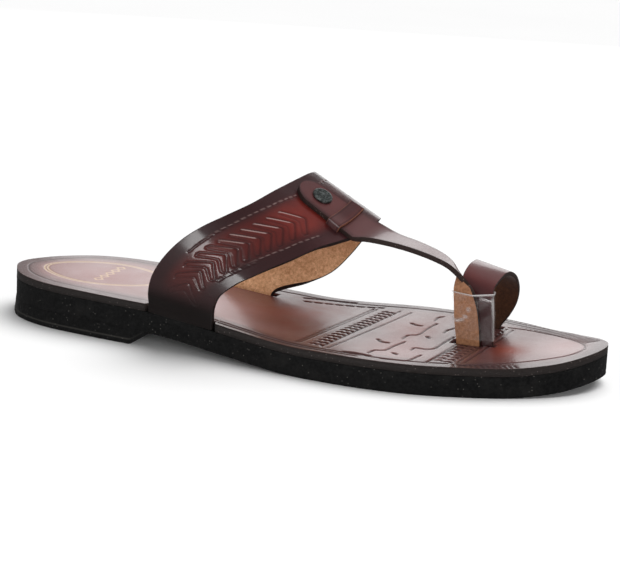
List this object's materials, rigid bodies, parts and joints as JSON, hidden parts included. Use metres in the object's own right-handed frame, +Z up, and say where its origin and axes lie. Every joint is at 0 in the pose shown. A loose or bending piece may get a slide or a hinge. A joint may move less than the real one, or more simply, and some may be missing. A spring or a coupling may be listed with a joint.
{
  "type": "leather toe loop sandal",
  "caption": "Flat leather chappal for the right foot, with a slanted instep band, a long toe strap, a big toe loop and a black rubber sole.",
  "frame": {"origin": "on the floor below the middle of the shoe's box", "axes": "+X from the heel to the toe, +Y to the medial side where the big toe goes, +Z up from the floor"},
  "size_m": [0.2866, 0.102, 0.0776],
  "materials": {
    "outsole": "matt black microcellular rubber",
    "heel": "matt black microcellular rubber",
    "insole": "stamped brown leather, satin",
    "upper": "burnished burgundy leather, semi gloss",
    "strap_keeper": "burgundy leather, semi gloss",
    "rivet": "dark gunmetal",
    "toe_loop": "burnished burgundy leather, semi gloss",
    "post_sleeve": "thin clear film"
  },
  "bodies": {
    "root": {"outsole": "outsole", "heel": "heel", "insole": "insole", "upper": "upper", "strap_keeper": "strap_keeper", "rivet": "rivet", "toe_loop": "toe_loop", "post_sleeve": "post_sleeve"}
  },
  "joints": []
}
